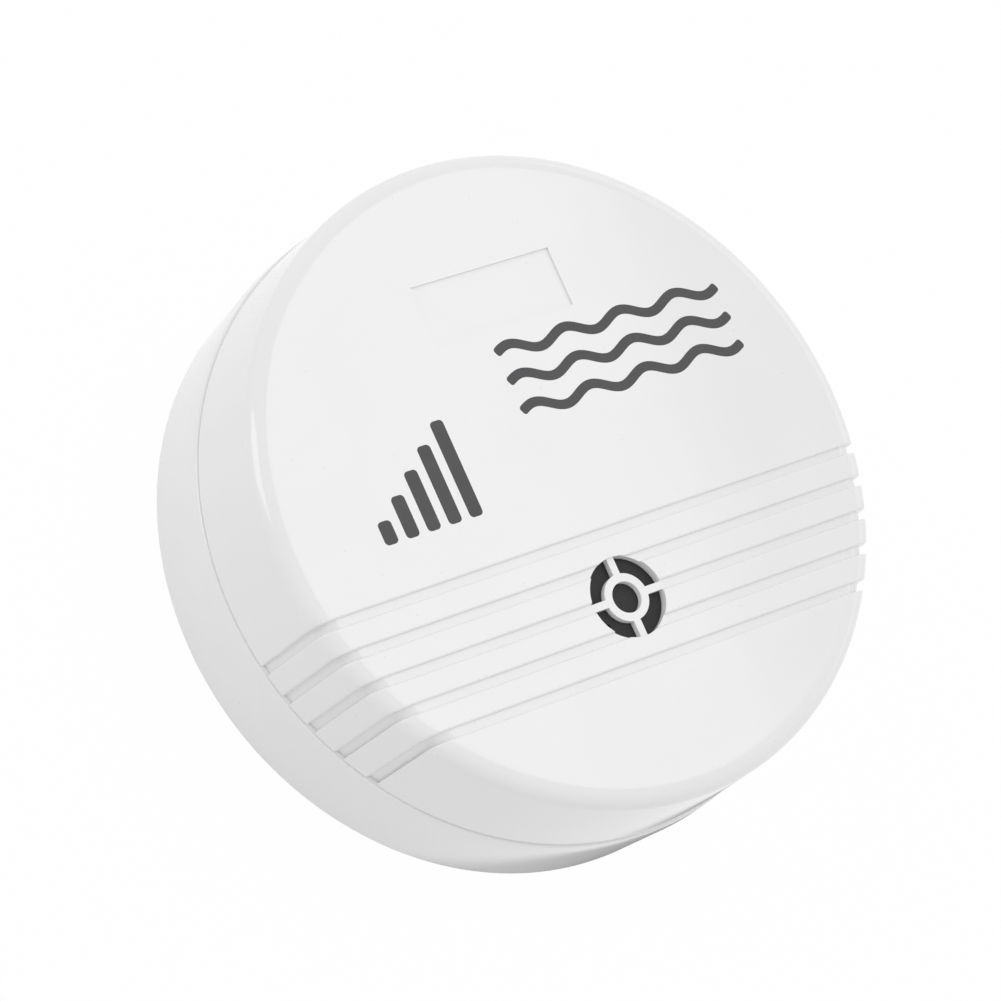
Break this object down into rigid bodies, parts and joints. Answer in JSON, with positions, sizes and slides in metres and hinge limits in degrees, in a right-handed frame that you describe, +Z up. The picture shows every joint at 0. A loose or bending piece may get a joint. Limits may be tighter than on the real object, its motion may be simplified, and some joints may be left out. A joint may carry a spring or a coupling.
{
  "type": "water leak sensor",
  "caption": "Round white water leak alarm puck: two-shell case with a grooved face, sound opening, sensing studs underneath and a hinged battery door.",
  "frame": {"origin": "on the floor under the middle of the case, in the plane of the sensing studs' ends", "axes": "+Z up out of the flat face, +X along the face's grooves, +Y from the grooves towards the label recess"},
  "size_m": [0.0856, 0.0856, 0.0301],
  "materials": {
    "white_abs": "polished moulded ABS",
    "black_plastic": "moulded, fine matt",
    "foam": "closed-cell foam",
    "zinc_steel": "zinc plated",
    "nickel_plate": "nickel plated",
    "tinned_metal": "tinned",
    "battery_steel": "lacquered sheet",
    "cell_can": "drawn can",
    "snap_vinyl": "moulded vinyl",
    "board_laminate": "solder mask on laminate",
    "moulding_compound": "moulded epoxy",
    "ferrite": "sintered",
    "copper_wire": "enamelled wire",
    "capacitor_sleeve": "shrink sleeve",
    "resistor_lacquer": "lacquered",
    "capacitor_dip": "dipped",
    "brass_sheet": "rolled sheet",
    "piezo_ceramic": "fired, silvered",
    "wire_red": "wire insulation",
    "wire_black": "wire insulation",
    "wire_blue": "wire insulation"
  },
  "bodies": {
    "housing": {"top_cover": "white_abs", "base_shell": "white_abs", "case_screws": "zinc_steel", "circuit_board": "board_laminate", "board_screws": "zinc_steel", "alarm_chip": "moulding_compound", "chip_pins": "tinned_metal", "drive_transistor": "moulding_compound", "coil_core": "ferrite", "coil_winding": "copper_wire", "smoothing_capacitor": "capacitor_sleeve", "resistors": "resistor_lacquer", "disc_capacitors": "capacitor_dip", "component_leads": "tinned_metal", "buzzer_case": "black_plastic", "buzzer_back": "black_plastic", "piezo_plate": "brass_sheet", "piezo_ceramic": "piezo_ceramic", "buzzer_leads": "wire_red", "battery_jacket": "battery_steel", "battery_cells": "cell_can", "battery_end_plate": "black_plastic", "battery_terminals": "nickel_plate", "battery_snap": "snap_vinyl", "snap_contacts": "nickel_plate", "battery_lead_red": "wire_red", "battery_lead_black": "wire_black", "probe_studs": "nickel_plate", "probe_nuts": "zinc_steel", "probe_lugs": "tinned_metal", "probe_leads": "wire_blue"},
    "door": {"battery_door": "white_abs", "door_pad": "foam"}
  },
  "joints": [
    {"name": "door_hinge", "type": "hinge", "parent": "housing", "child": "door", "pos_m": [0.02626, 0.01185, 0.0021], "axis": [0, -1, 0], "range_deg": [0, 90]}
  ]
}
